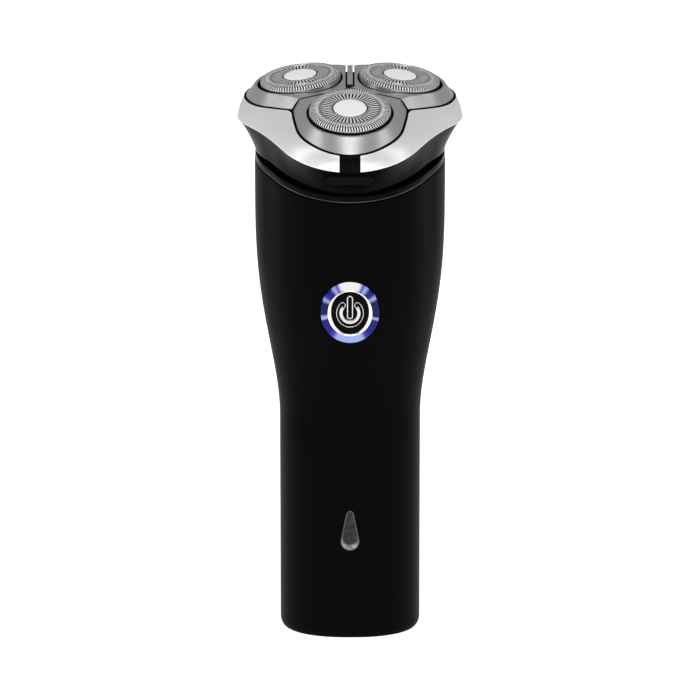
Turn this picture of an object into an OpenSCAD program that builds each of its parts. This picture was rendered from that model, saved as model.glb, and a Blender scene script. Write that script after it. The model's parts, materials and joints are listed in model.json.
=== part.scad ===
// Three-head rotary shaver, upright on its flat base.
// Millimetres, +Z up. The button side faces -Y. The origin is the centre of the base's flat face.
// The head leans forward. Its own frame has z = 0 in the plane of the body's top rim.

/* [Body] */
// half width of the body at its base
base_hw = 20.75; // [20:0.05:21.5]
// depth over width of the body's lower section
base_aspect = 0.9; // [0.88:0.01:0.94]
// height where the body starts to widen
waist_z = 64; // [60:1:68]
// height where the widening ends
shoulder_z = 136; // [132:1:137]
// wall of the body shells
wall = 2; // [1.6:0.1:2.2]

/* [Head] */
// forward lean of the head, degrees
tau = 12; // [10:0.5:13]
// height of the centre of the body's top rim
rim_h = 139; // [138:0.5:142]
// how far the rim's centre stands behind the base's centre
rim_back = 4.5; // [3:0.25:5]
// distance from the head's axis to each cutting unit
unit_r = 16.9; // [16.8:0.05:17]
// height of the guards' top above the rim plane
guard_h = 23.2; // [23:0.1:23.6]
// outward lean of each cutting unit, degrees
unit_tilt = 8; // [7:0.5:8.5]
// radius of each guard
guard_r = 11.8; // [11.6:0.05:11.9]

/* [Slots] */
// slots in a guard's outer band
slots_out = 90; // [48:6:90]
// slots in a guard's inner band
slots_in = 45; // [30:3:45]

/* [Button] */
// height of the power button's centre
button_z = 99.7; // [96:0.5:102]
// outer half width of the light ring
light_r = 8.45; // [8.2:0.05:8.6]
// half width of the pressed cap
cap_r = 5.15; // [5:0.05:5.2]
// height over width of the button and its rings
oval = 1.09; // [1.09:0.01:1.09]

// height over width of the pressed cap
cap_oval = 1.2; // [1.15:0.01:1.2]

/* [Drive] */
// gear module
gear_m = 0.6; // [0.6:0.1:0.6]
// teeth of the motor pinion
pinion_n = 24; // [24:1:24]
// teeth of each spindle gear
gear_n = 30; // [30:1:30]

/* [Hidden] */
$fn = 96;
rim_hw_rho = 24.94;    // body rim: three arcs of this radius
rim_c = 3.44;          // and their distance from the axis
rim_hw = 27.9;
trim_rho = 21.9;       // outline of the head at the trim's lower edge
trim_c = 13;
trim_z = 11.4;
trim_wave = 2.5;
plate_r = 16.7;        // outer radius of a petal plate at its outer end
proud = 0.6;           // how far the cutting units stand above their plates' plane
seam = 0.45;           // dark gap round the plates
gear_r = gear_m*(pinion_n + gear_n)/2;
flat_z = 23.1;         // height of the plates along their shared seams
hinge_y = 28.3;
hinge_z = 12.4;
housing_gap = 0.1;
az_n = 60;
inlet_y = 8.6;         // the charging inlet stands behind the base's centre

function mix(a, b, t) = a + (b - a)*t;
function ss(t) = let(u = min(1, max(0, t))) u*u*(3 - 2*u);
function fold(az) = let(m = (az % 120 + 120) % 120) m > 60 ? 120 - m : m;
// outline of three arcs joined by tangents, by angle from the front
function lobe(az, rho, c) = let(f = fold(az), t = atan2(rho*sin(60), c + rho/2))
  f <= t ? c*cos(f) + sqrt(rho*rho - pow(c*sin(f), 2)) : (c/2 + rho)/cos(60 - f);
function super(az, a, b) = 1/pow(pow(abs(sin(az))/a, 2.35) + pow(abs(cos(az))/b, 2.35), 1/2.35);
function wave(az) = (1 - cos(3*az))/2;

// ---- body surface ----
function body_a(z) =
  base_hw + (rim_hw - base_hw)*ss(pow(max(0, (z - waist_z)/(shoulder_z - waist_z)), 0.95));
function body_v(z) = ss((z - waist_z)/(shoulder_z - waist_z));
function body_u(z) = ss((z - 50)/(rim_h - 50));
function foot(z) = z < 0.1 ? 0.75 : z < 0.6 ? 0.3 : z < 2 ? 0.06 : 0;
function body_r(z, az, off) = let(a = body_a(z) - off, b = body_a(z)*base_aspect - off)
  mix(super(az, a, b), lobe(az, rim_hw_rho - off, rim_c), body_v(z));
function body_pt(z, az, off) = let(r = body_r(z, az, off), t = tau*body_u(z))
  [r*sin(az), rim_back*body_u(z) - r*cos(az)*cos(t), z - r*cos(az)*sin(t)];
// ring height whose front point stands at height z
function ring_for(z, n = 5) = n == 0 ? z :
  let(q = ring_for(z, n - 1)) z + body_r(q, 0, 0)*sin(tau*body_u(q));
function front_y(z) = body_pt(ring_for(z), 0, 0)[1];
// the body's top edge climbs from front to side; a band follows it
function rise(az) = let(m = (az % 360 + 360) % 360) 2.1*ss((m > 180 ? 360 - m : m)/80);
function shell_top(z, az) = z < rim_h ? z : rim_h - 1.1 + rise(az);

shell_z = [0, 0.5, 1.6, 25, 50, 62, 68, 74, 80, 86, 92, 98, 104, 110, 116, 122, 128, 134, rim_h];

// half shell between two angles, outer layer then inner layer
module half_shell(a0, a1, m = 20) {
  n = len(shell_z);
  w = m + 1;
  pts = concat(
    [for (z = shell_z, j = [0:m]) let(a = mix(a0, a1, j/m)) body_pt(shell_top(z, a), a, foot(z))],
    [for (z = shell_z, j = [0:m]) let(a = mix(a0, a1, j/m)) body_pt(shell_top(z, a), a, wall)]);
  L = n*w;
  faces = concat(
    [for (i = [0:n-2], j = [0:m-1]) each [[i*w+j, (i+1)*w+j, (i+1)*w+j+1], [i*w+j, (i+1)*w+j+1, i*w+j+1]]],
    [for (i = [0:n-2], j = [0:m-1]) each [[L+i*w+j, L+(i+1)*w+j+1, L+(i+1)*w+j], [L+i*w+j, L+i*w+j+1,
      L+(i+1)*w+j+1]]],
    [for (j = [0:m-1]) let(o = (n-1)*w+j) each [[o+1, o, L+o], [o+1, L+o, L+o+1]]],
    [for (j = [0:m-1]) each [[j, j+1, L+j+1], [j, L+j+1, L+j]]],
    [for (i = [0:n-2]) let(p = i*w, q = (i+1)*w) each [[q, p, L+p], [q, L+p, L+q]]],
    [for (i = [0:n-2]) let(p = i*w+m, q = (i+1)*w+m) each [[p, q, L+q], [p, L+q, L+p]]]);
  polyhedron(pts, faces, convexity = 6);
}

// closed rings joined in order: capped at both ends, or wrapped round into a tube
module loft(rings, wrap = false) {
  n = len(rings);
  m = len(rings[0]);
  pts = [for (r = rings) each r];
  faces = concat(
    [for (i = [0:n - (wrap ? 1 : 2)], j = [0:m-1])
      let(p = i*m, q = ((i+1) % n)*m, k = (j+1) % m) each [[p+j, q+j, q+k], [p+j, q+k, p+k]]],
    wrap ? [] : [[for (j = [0:m-1]) j], [for (j = [m-1:-1:0]) (n-1)*m + j]]);
  polyhedron(pts, faces, convexity = 6);
}

module head() translate([0, rim_back, rim_h]) rotate([tau, 0, 0]) children();
module unit(k) head() in_unit(k) children();
module spindle_at(k) head() rotate([0, 0, 120*k]) translate([0, -gear_r, 0]) children();
module tube(ro, ri, z0, z1) translate([0, 0, z0]) difference() {
  cylinder(h = z1 - z0, r = ro);
  translate([0, 0, -1]) cylinder(h = z1 - z0 + 2, r = ri);
}
module rod(r, z0, z1, n = 96) translate([0, 0, z0]) cylinder(h = z1 - z0, r = r, $fn = n);
module slab(x0, x1, y0, y1, z0, z1) translate([x0, y0, z0]) cube([x1 - x0, y1 - y0, z1 - z0]);
module base_outline(off) polygon([for (j = [0:39]) let(p = body_pt(1, 9*j, off)) [p[0], p[1]]]);
// button frame: z points out of the body's front
button_y = front_y(button_z);
button_lean = atan2(front_y(button_z - 5) - front_y(button_z + 5), 10);
module button_at() translate([0, button_y, button_z]) rotate([90 + button_lean, 0, 0]) children();

// ---- body pieces ----
module drop_shape(grow) {
  r0 = 2.8 + grow;
  r1 = 1.15 + grow;
  z0 = 29.7;
  z1 = 37.95;
  s = acos((r0 - r1)/(z1 - z0));
  translate([0, z0]) circle(r = r0);
  translate([0, z1]) circle(r = r1);
  polygon([[r0*sin(s), z0 + r0*cos(s)], [r1*sin(s), z1 + r1*cos(s)],
    [-r1*sin(s), z1 + r1*cos(s)], [-r0*sin(s), z0 + r0*cos(s)]]);
}
module drop_block(grow, y0, y1)
  translate([0, y1, 0]) rotate([90, 0, 0]) linear_extrude(y1 - y0) drop_shape(grow);

module front_shell() color([0.045, 0.045, 0.05]) difference() {
  half_shell(-90, 90);
  button_at() oval_rod(light_r + 0.05, -12, 6);
  drop_block(0.02, -24, -12);
}
module rear_shell() color([0.045, 0.045, 0.05]) half_shell(90, 270);
module base_cap() color([0.06, 0.06, 0.06]) difference() {
  linear_extrude(4.5) base_outline(wall + 0.06);
  slab(-7.6, 7.6, inlet_y - 5.1, inlet_y + 5.1, -1, 6);
}
module inlet_socket() color([0.1, 0.1, 0.11]) difference() {
  slab(-7.55, 7.55, inlet_y - 5.05, inlet_y + 5.05, 0.3, 11);
  slab(-6, 6, inlet_y - 3.5, inlet_y + 3.5, 0, 9.4);
  for (s = [-1, 1]) translate([3.3*s, inlet_y, 9]) cylinder(h = 3, r = 0.8);
}
module inlet_pin(s) color([0.75, 0.72, 0.6]) translate([3.3*s, inlet_y, 2.6]) cylinder(h = 9.6, r = 0.8);
module inlet_pin_left() inlet_pin(-1);
module inlet_pin_right() inlet_pin(1);

bat_y = 3.2;
module battery_cell() color([0.12, 0.3, 0.5]) translate([0, bat_y, 17]) {
  cylinder(h = 64, r = 9.1);
  translate([0, 0, 64]) cylinder(h = 1.2, r = 3);
}
module battery_contact_low() color([0.8, 0.78, 0.7]) slab(-5, 5, bat_y - 6, bat_y + 6, 16.5, 17);
module battery_contact_top() color([0.8, 0.78, 0.7]) slab(-5, 5, bat_y - 6, bat_y + 6, 82.2, 82.7);
module chassis() color([0.3, 0.3, 0.32]) difference() {
  union() {
    slab(-13, 13, -10.3, 11.5, 11, 16.5);
    slab(-13, 13, -10.3, 11.5, 82.7, 85.5);
    for (s = [-1, 1]) slab(s > 0 ? 10.2 : -13, s > 0 ? 13 : -10.2, -10.3, -4, 16.5, 82.7);
    slab(-12, 12, -10.3, -8.5, 85.5, 110);
  }
  for (s = [-1, 1]) slab(3.3*s - 1.5, 3.3*s + 1.5, inlet_y - 1.5, inlet_y + 1.5, 10, 13);
  translate([0, bat_y, 10]) cylinder(h = 20, r = 3);
  translate([0, bat_y, 80]) cylinder(h = 20, r = 3);
}
module circuit_board() color([0.05, 0.25, 0.12]) slab(-12, 12, -11.8, -10.4, 20, 108);
module controller_chip() color([0.08, 0.08, 0.08]) slab(-4, 4, -13, -11.8, 60, 68);
module inductor() color([0.25, 0.2, 0.18])
  translate([0, -11.8, 50]) rotate([90, 0, 0]) cylinder(h = 2.6, r = 3.2);
module tact_switch() color([0.2, 0.2, 0.22]) slab(-3, 3, -14.2, -11.8, button_z - 3, button_z + 3);
module charge_led() color([0.95, 0.9, 0.7]) slab(-1.6, 1.6, -13.2, -11.8, 30, 32);
module ring_led() color([0.5, 0.7, 1]) for (s = [-1, 1]) slab(s > 0 ? 6 : -8, s > 0 ? 8 : -6, -13, -11.8,
  button_z - 1, button_z + 1);

module drive_motor() color([0.6, 0.6, 0.62]) head() difference() {
  rod(10.5, -32, -5.5);
  rod(1.06, -12, 0);
}
module motor_cap() color([0.15, 0.15, 0.16]) head() difference() {
  rod(10.5, -34.5, -32.05);
  for (s = [-1, 1]) translate([6*s, 0, -35]) cylinder(h = 1.5, r = 1.2);
}
module gear_base() color([0.22, 0.22, 0.24]) head() difference() {
  rod(22.4, -5.45, -3.2);
  rod(2.2, -8, 0);
  for (k = [0:2]) rotate([0, 0, 120*k]) translate([0, -gear_r, -4.8]) cylinder(h = 3, r = 1.55);
}
module gear_cover() color([0.22, 0.22, 0.24]) head() difference() {
  rod(22.9, -0.3, 1.4);
  for (k = [0:2]) rotate([0, 0, 120*k]) translate([0, -gear_r, -1]) cylinder(h = 4, r = 1.55);
  for (k = [0:2]) rotate([0, 0, 60 + 120*k]) translate([0, -15.5, -1]) cylinder(h = 4, r = 1.02);
}
module cover_screws() color([0.7, 0.7, 0.72]) head() for (k = [0:2])
  rotate([0, 0, 60 + 120*k]) translate([0, -15.5, 0]) difference() {
    union() {
      rod(1, -3.18, 1.41);
      rod(1.9, 1.4, 2.6);
    }
    slab(-2.5, 2.5, -0.25, 0.25, 2.1, 3);
  }
module rim_ring() color([0.03, 0.03, 0.03]) head()
  loft([for (q = [[0.1, -1.04], [0.1, 0.7], [0.45, 1], [-1, 1], [-1, -0.45], [1.4, -0.45], [1.2, -1.04]])
    [for (j = [0:az_n-1])
    let(az = 360*j/az_n, r = q[0] < 0 ? 25.07 : lobe(az, rim_hw_rho, rim_c) - q[0])
    [r*sin(az), -r*cos(az), q[1] + rise(az)]]], wrap = true);
module neck_ring() color([0.03, 0.03, 0.03]) head() tube(24.4, 22.95, 0, 4.6);
module neck_seal() color([0.1, 0.1, 0.1]) head()
  rotate_extrude() translate([23.8, 5.02]) circle(r = 0.39, $fn = 24);
module oval_rod(r, z0, z1, n = 72, o = oval) translate([0, 0, z0]) linear_extrude(z1 - z0)
  polygon([for (j = [0:n-1]) [r*cos(360*j/n), r*o*sin(360*j/n)]]);
module oval_tube(ro, ri, z0, z1) difference() {
  oval_rod(ro, z0, z1);
  oval_rod(ri, z0 - 1, z1 + 1);
}
module light_ring() color([0.35, 0.6, 1]) button_at() oval_tube(light_r, 6.58, -2.6, 0.3);
module bezel_ring() color([0.8, 0.8, 0.82]) button_at() {
  difference() {
    oval_rod(6.52, -3, 0);
    oval_rod(5.25, -4, 1, 72, cap_oval);
  }
  oval_tube(6.52, 5.9, 0, 0.65);
}
module drop_lens() color([0.6, 0.63, 0.65]) intersection() {
  drop_block(0, front_y(33) - 0.35, front_y(33) + 2.3);
  translate([0, 0, 0]) slab(-4, 4, -40, 0, 20, 45);
}

// ---- moving buttons ----
module power_cap() color([0.02, 0.02, 0.02]) button_at() {
  oval_rod(cap_r, -1.6, 0.2, 72, cap_oval);
  rod(1.6, button_y + 15.1, -1.6);
}
module power_symbol() color([0.8, 0.8, 0.82]) button_at() {
  difference() {
    oval_tube(4.25, 2.2, 0.2, 0.55);
    slab(-1.6, 1.6, 0, 6, 0, 1);
  }
  slab(-0.95, 0.95, -1.6, 5.3, 0.2, 0.55);
}
module release_tab() color([0.02, 0.02, 0.02]) head() tab_block(0, -30.75, -27.6);
// stadium-shaped block through the front of the head housing
module tab_block(grow, y0, y1) translate([0, y1, 7.25]) rotate([90, 0, 0]) linear_extrude(y1 - y0) {
  for (s = [-1, 1]) translate([5.05*s, 0]) circle(r = 1.6 + grow);
  square([10.1, 3.2 + 2*grow], center = true);
}

// ---- drive ----
// straight-sided tooth outline with generous backlash
module gear_shape(n, shift = 0) {
  rp = gear_m*n/2;
  w = 360/n;
  polygon([for (i = [0:n-1]) each [
    for (q = [[-0.30, -0.72], [-0.12, 0.5], [0.12, 0.5], [0.30, -0.72]])
      let(a = w*(i + shift + q[0]*(q[1] > 0 ? 0.95 : 0.82)), r = rp + q[1]*gear_m*1.25)
      [r*cos(a), r*sin(a)]]]);
}
module motor_pinion() color([0.85, 0.8, 0.6]) head() {
  difference() {
    translate([0, 0, -2.7]) linear_extrude(2) rotate(-90) gear_shape(pinion_n);
    rod(1, -3, 0);
  }
  rod(1, -11.8, -0.6);
}
module spindle_gear(k) color([0.85, 0.82, 0.75]) spindle_at(k) {
  difference() {
    translate([0, 0, -2.7]) linear_extrude(2) rotate(90) gear_shape(gear_n, 0.5);
    rod(1.5, -3, 0);
  }
  rod(1.5, -4.75, 13.5);
}
module spindle_gear_1() spindle_gear(0);
module spindle_gear_2() spindle_gear(1);
module spindle_gear_3() spindle_gear(2);
module drive_tip(k) color([0.2, 0.2, 0.22]) spindle_at(k) {
  rod(2.3, 13.5, 14.7);
  rod(1.62, 14.7, 18.3, 6);
}
module drive_tip_1() drive_tip(0);
module drive_tip_2() drive_tip(1);
module drive_tip_3() drive_tip(2);

// ---- head housing ----
function low_z(az) = max(1.4 + 3.5*wave(az), 1.35 + rise(az));
function top_z(az) = trim_z - housing_gap + trim_wave*wave(az);
function house_r(az, z) = let(s = (z - low_z(az))/(top_z(az) - low_z(az)))
  mix(lobe(az, 24.7, 3.3), lobe(az, trim_rho - 0.35, trim_c), pow(max(0, s), 1.3));
function house_ring(s, off) = [for (j = [0:az_n-1]) let(az = 360*j/az_n, z = mix(low_z(az), top_z(az), s),
  r = house_r(az, z) - off) [r*sin(az), -r*cos(az), z]];
function level_ring(z, off) = [for (j = [0:az_n-1]) let(az = 360*j/az_n, r = house_r(az, z) - off)
  [r*sin(az), -r*cos(az), z]];
module head_housing() color([0.02, 0.02, 0.02]) head() difference() {
  union() {
    loft(concat([level_ring(5.45, 1.7), house_ring(0, 1.7)],
      [for (s = [0, 0.25, 0.5, 0.75, 1]) house_ring(s, 0)],
      [house_ring(1, 1.6), level_ring(6.4, 1.7)]));
    for (k = [0:2]) rotate([0, 0, 120*k]) translate([0, -gear_r, 0]) rod(3.6, 6.3, 9.4);
    translate([-2.6, hinge_y, hinge_z]) rotate([0, 90, 0]) cylinder(h = 5.2, r = 1.45);
    slab(-2.6, 2.6, hinge_y - 1.6, hinge_y + 1.2, 8.6, hinge_z);
  }
  for (k = [0:2]) rotate([0, 0, 120*k]) translate([0, -gear_r, 4]) cylinder(h = 8, r = 1.56);
  translate([-4, hinge_y, hinge_z]) rotate([0, 90, 0]) cylinder(h = 8, r = 0.75);
  for (s = [-1, 1]) translate([5*s - 2.3, hinge_y, hinge_z]) rotate([0, 90, 0]) cylinder(h = 4.6, r = 1.8);
  tab_block(0.12, -36, -26);
}
module hinge_pin() color([0.7, 0.7, 0.72]) head()
  translate([-7.4, hinge_y, hinge_z]) rotate([0, 90, 0]) cylinder(h = 14.8, r = 0.75);

// ---- cover ----
function plate_at(a) = plate_r - 1.2*ss(abs(a)/50) + 2.5*pow(max(0, abs(a) - 80)/33, 2);
// distance from the head's axis to the trim's inner edge, found by repeated correction
function petal_edge(az, n = 8, r = plate_r + seam) = let(f = fold(az),
    t = unit_r*cos(f) + sqrt(pow(r, 2) - pow(unit_r*sin(f), 2)))
  n == 0 ? t : petal_edge(az, n - 1, plate_at(atan2(t*sin(f), t*cos(f) - unit_r)) + seam);
function edge_z(az) = let(f = fold(az), t = petal_edge(az))
  unit_z(-t*cos(f)) - plate_drop(atan2(t*sin(f), t*cos(f) - unit_r)) + 0.1;
// trim section: share of the way out, share of the rise, extra width, extra height
trim_prof = [[1, 0, 0, 0], [0.95, 0.1, 0, 0.1], [0.68, 0.46, 0, 0.2], [0.34, 0.76, 0, 0.15], [0, 1, 0, 0],
  [0, 1, 0, -1.5]];
trim_under = [[0.36, 0.74, -1.35], [0.72, 0.42, -1.25], [1, 0, 0]];
function trim_pt(az, ro, ri, z) = let(r = mix(ri, ro, z[0]))
  [r*sin(az), -r*cos(az), mix(trim_z + trim_wave*wave(az), edge_z(az), z[1]) + z[3]];
module trim_loft() loft(concat([for (q = trim_prof) [for (j = [0:az_n-1]) let(az = 360*j/az_n)
    trim_pt(az, lobe(az, trim_rho, trim_c), petal_edge(az), q)]],
  [for (q = trim_under) [for (j = [0:az_n-1]) let(az = 360*j/az_n, ro = lobe(az, trim_rho, trim_c),
      r = min(mix(petal_edge(az), ro, q[0]), ro - 1.5))
    [r*sin(az), -r*cos(az), mix(trim_z + trim_wave*wave(az), edge_z(az), q[1]) + q[2]]]]), wrap = true);
module trim_insert() color([0.02, 0.02, 0.02]) head() intersection() {
  trim_loft();
  slab(-2.95, 2.95, -40, -20, 5, 25);
}
module trim_band() color([0.8, 0.8, 0.8]) head() difference() {
  union() {
    difference() {
      trim_loft();
      slab(-3, 3, -40, -20, 5, 25);
    }
    for (s = [-1, 1]) translate([5*s - 2, hinge_y, hinge_z]) rotate([0, 90, 0]) cylinder(h = 4, r = 1.45);
  }
  translate([-2.8, hinge_y, hinge_z]) rotate([0, 90, 0]) cylinder(h = 5.6, r = 1.8);
  translate([-9, hinge_y, hinge_z]) rotate([0, 90, 0]) cylinder(h = 18, r = 0.8);
}
module head_frame() color([0.05, 0.05, 0.05]) head() {
  difference() {
    translate([0, 0, 12.6]) linear_extrude(1.6) polygon([for (j = [0:71]) let(az = 5*j,
      r = lobe(az, trim_rho, trim_c) - 2.4) [r*sin(az), -r*cos(az)]]);
    for (k = [0:2]) rotate([0, 0, 120*k]) translate([0, -gear_r, 12]) cylinder(h = 4, r = 7);
    rod(5.2, 12, 15);
  }
  // one upright fin behind each unit's outer side carries the plates
  for (k = [0:2], s = [-1, 0, 1]) rotate([0, 0, 120*k]) translate([0, -unit_r, 0]) rotate([0, 0, 38*s])
    slab(-1.5, 1.5, -14.7, -13.7, 13.4, 16.4);
  for (s = [-1, 1]) rotate([0, 0, 60*s]) slab(-2.5, 2.5, -16, -15, 13.4, 20.5);
}
module in_unit(k) rotate([0, 0, 120*k]) translate([0, -unit_r, guard_h + proud]) rotate([unit_tilt, 0, 0])
  children();

// plate surface, by angle from outward and by radius about the unit's centre
function wedge_r(a, gap) = abs(a) <= 90 ? 99 : (unit_r*sin(60) - gap)/max(0.01, cos(150 - abs(a)));
function plate_out(a, gap) = min(plate_at(a), wedge_r(a, gap));
function plate_fold(a) = mix(13.4, plate_at(a) - 2.4, ss((abs(a) - 10)/95));
function plate_drop(a) = 4.8 - 0.6*pow(a/114, 2);
function unit_z(y) = guard_h + (y + unit_r)*tan(unit_tilt);
function top_at(a, r) = let(y = -unit_r - r*cos(a), f = plate_fold(a), flat = min(unit_z(y) - 0.9, flat_z),
    t = max(0, min(1, (r - f)/(plate_at(a) - f))))
  mix(flat, min(flat, unit_z(y) - plate_drop(a)), t);
function corner_a(gap, n = 12, a = 112) = n == 0 ? a :
  corner_a(gap, n - 1, (a + 150 - acos((unit_r*sin(60) - gap)/plate_at(a)))/2);
function petal_angles(gl, gr) = concat([for (j = [0:8]) mix(-180, -corner_a(gr), j/9)],
  [for (j = [0:29]) mix(-corner_a(gr), corner_a(gl), j/30)], [for (j = [0:8]) mix(corner_a(gl), 180, j/9)]);
module petal_plate(k) color([0.62, 0.62, 0.63]) head() rotate([0, 0, 120*k]) {
  gl = k == 1 ? 1.25 : 0.25;   // the rear plates leave room for the rib
  gr = k == 2 ? 1.25 : 0.25;
  loft([for (q = [[0, -0.8], [1, -0.8], [1, 0], [0.55, 0], [0.18, 0], [0, 0]])
    [for (a = petal_angles(gl, gr)) let(g = a > 0 ? gl : gr, ro = plate_out(a, g),
      f = min(plate_fold(a), ro - 0.15),
      r = q[0] == 1 ? ro : q[0] == 0 ? 12.5 : q[0] > 0.5 ? f : (12.5 + f)/2)
      [r*sin(a), -unit_r - r*cos(a), top_at(a, r) + q[1]]]], wrap = true);
}
module petal_plate_1() petal_plate(0);
module petal_plate_2() petal_plate(1);
module petal_plate_3() petal_plate(2);
module rear_rib() color([0.6, 0.6, 0.6]) head() slab(-0.8, 0.8, 3, 18, 15.7, 22.95);
module cutter_retainer() color([0.5, 0.5, 0.52]) head() difference() {
  union() {
    rod(9, 14.3, 15.4);
    for (k = [0:2]) rotate([0, 0, 120*k]) translate([0, -gear_r, 0]) rod(8.4, 14.3, 15.4);
  }
  for (k = [0:2]) rotate([0, 0, 120*k]) translate([0, -gear_r, 13]) cylinder(h = 4, r = 6.4);
}
module lock_knob() color([0.1, 0.1, 0.1]) head() rod(5, 12, 14.25);

// ---- cutting units, each in its own tilted frame ----
module guard(k) color([0.8, 0.8, 0.8]) unit(k) difference() {
  rotate_extrude() polygon([[4.95, -0.5], [4.95, 0], [8.6, 0], [8.75, -0.12], [8.9, 0], [10.9, 0],
    [11.3, -0.1], [11.65, -0.35], [guard_r, -0.75], [guard_r, -4], [13, -4.05], [13, -4.5],
    [11.3, -4.5], [11.3, -0.75], [11.05, -0.5]]);
  for (i = [0:slots_out-1]) rotate([0, 0, 360*(i + 0.5)/slots_out]) rotate([0, 0, 0])
    slab(-0.14, 0.14, 9.2, 11.1, -1.2, 1);
  for (i = [0:slots_in-1]) rotate([0, 0, 360*i/slots_in]) slab(-0.17, 0.17, 5.5, 8.2, -1.2, 1);
}
module guard_1() guard(0);
module guard_2() guard(1);
module guard_3() guard(2);
module centre_disc(k) color([0.95, 0.95, 0.95]) unit(k) {
  rotate_extrude() polygon([[0, -0.5], [4.9, -0.5], [4.9, 0.02], [4.6, 0.2], [3, 0.32], [0, 0.36]]);
  rod(1.2, -3.8, -0.5);
}
module centre_disc_1() centre_disc(0);
module centre_disc_2() centre_disc(1);
module centre_disc_3() centre_disc(2);
module cutter(k) color([0.75, 0.76, 0.78]) unit(k) difference() {
  union() {
    rod(10.6, -3, -2.4);
    rod(3.9, -6.2, -2.4);
    for (i = [0:14]) rotate([0, 0, 24*i]) slab(-0.3, 0.3, 6, 10.5, -2.5, -0.75);
  }
  rod(1.25, -3.9, 0);
  rod(3.1, -7, -4.3, 6);
}
module cutter_1() cutter(0);
module cutter_2() cutter(1);
module cutter_3() cutter(2);

front_shell();
rear_shell();
base_cap();
inlet_socket();
inlet_pin_left();
inlet_pin_right();
chassis();
battery_cell();
battery_contact_low();
battery_contact_top();
circuit_board();
controller_chip();
inductor();
tact_switch();
charge_led();
ring_led();
drive_motor();
motor_cap();
gear_base();
gear_cover();
cover_screws();
rim_ring();
neck_ring();
neck_seal();
light_ring();
bezel_ring();
drop_lens();
head_housing();
hinge_pin();
power_cap();
power_symbol();
release_tab();
motor_pinion();
spindle_gear_1();
spindle_gear_2();
spindle_gear_3();
drive_tip_1();
drive_tip_2();
drive_tip_3();
trim_band();
trim_insert();
head_frame();
petal_plate_1();
petal_plate_2();
petal_plate_3();
rear_rib();
cutter_retainer();
lock_knob();
guard_1();
guard_2();
guard_3();
centre_disc_1();
centre_disc_2();
centre_disc_3();
cutter_1();
cutter_2();
cutter_3();
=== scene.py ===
import bpy
import bmesh
import json
import math
from mathutils import Vector, Matrix
from mathutils.bvhtree import BVHTree


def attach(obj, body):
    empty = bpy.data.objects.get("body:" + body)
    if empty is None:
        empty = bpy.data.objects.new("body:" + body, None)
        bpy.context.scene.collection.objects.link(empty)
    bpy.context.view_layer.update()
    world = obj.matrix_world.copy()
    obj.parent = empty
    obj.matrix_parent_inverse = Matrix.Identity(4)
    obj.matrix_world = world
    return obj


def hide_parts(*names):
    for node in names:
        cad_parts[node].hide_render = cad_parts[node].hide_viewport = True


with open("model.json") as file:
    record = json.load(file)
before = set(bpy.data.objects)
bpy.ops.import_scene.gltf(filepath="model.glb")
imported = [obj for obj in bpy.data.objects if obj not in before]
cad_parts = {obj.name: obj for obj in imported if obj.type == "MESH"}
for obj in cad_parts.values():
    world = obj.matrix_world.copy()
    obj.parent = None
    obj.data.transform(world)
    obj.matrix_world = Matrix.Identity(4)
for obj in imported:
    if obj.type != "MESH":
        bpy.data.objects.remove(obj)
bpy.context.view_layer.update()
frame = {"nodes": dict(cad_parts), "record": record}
MM = 0.001

# ---------- shared shape formulas, in millimetres and degrees (same as part.scad) ----------
# forward lean of the head; height of the body's top rim, and how far behind the base's centre it is
TAU, RIM_H, RIM_BACK = 12.0, 139.0, 4.5
# cutting units: distance from the head's axis, height of the guards' top, outward lean, radius, and
# how far they stand above their plates
UNIT_R, GUARD_H, UNIT_TILT, GUARD_R, PROUD = 16.9, 23.2, 8.0, 11.8, 0.6
# distance of the spindles from the head's axis
GEAR_R = 16.2
# outlines with three lobes: radius of the arcs and distance of their centres from the axis, for the
# body's rim and for the trim's lower edge, with that edge's height and its climb between two lobes
RIM_RHO, RIM_C = 24.94, 3.44
TRIM_RHO, TRIM_C, TRIM_Z, TRIM_WAVE = 21.9, 13.0, 11.4, 2.5
# petal plates: outer radius, the dark gap round them, height of the flat that they share
PLATE_R, SEAM, FLAT_Z = 16.7, 0.45, 23.1
# the cover's hinge, in the head's frame
HINGE_Y, HINGE_Z = 28.3, 12.4
# height of the power button's centre, wall of the shells
BUTTON_Z = 99.7
WALL = 2.0
# height over width of the button's rings and of its cap
OVAL, CAP_OVAL = 1.09, 1.2


def sd(a):
    return math.sin(math.radians(a))


def cd(a):
    return math.cos(math.radians(a))


def mix(a, b, t):
    """Value t of the way from a to b."""
    return a + (b - a) * t


def ss(t):
    """Smooth step from 0 to 1."""
    u = min(1.0, max(0.0, t))
    return u * u * (3 - 2 * u)


def fold(az):
    """Angle from the middle of the nearest lobe, 0 to 60 degrees."""
    m = az % 120.0
    return 120 - m if m > 60 else m


def lobe(az, rho, c):
    """Radius of an outline with three lobes: arcs joined by straight lines."""
    f = fold(az)
    t = math.degrees(math.atan2(rho * sd(60), c + rho / 2))
    if f <= t:
        return c * cd(f) + math.sqrt(rho * rho - (c * sd(f)) ** 2)
    return (c / 2 + rho) / cd(60 - f)


def wave(az):
    """0 in the middle of each lobe, 1 between two lobes."""
    return (1 - cd(3 * az)) / 2


def body_a(z):
    """Half width of the body's oval section."""
    return 20.75 + (27.9 - 20.75) * ss(max(0.0, (z - 64) / 72.0) ** 0.95)


def body_v(z):
    """Share of the three-lobed outline in the section at z."""
    return ss((z - 64) / 72.0)


def body_u(z):
    """Share of the head's lean that the section at z has."""
    return ss((z - 50) / 89.0)


def body_r(z, az, off=0.0):
    """Radius of the body's section at z, off millimetres inside its surface."""
    a = body_a(z) - off
    b = body_a(z) * 0.9 - off
    s = 1 / ((abs(sd(az)) / a) ** 2.35 + (abs(cd(az)) / b) ** 2.35) ** (1 / 2.35)
    return mix(s, lobe(az, RIM_RHO - off, RIM_C), body_v(z))


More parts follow.
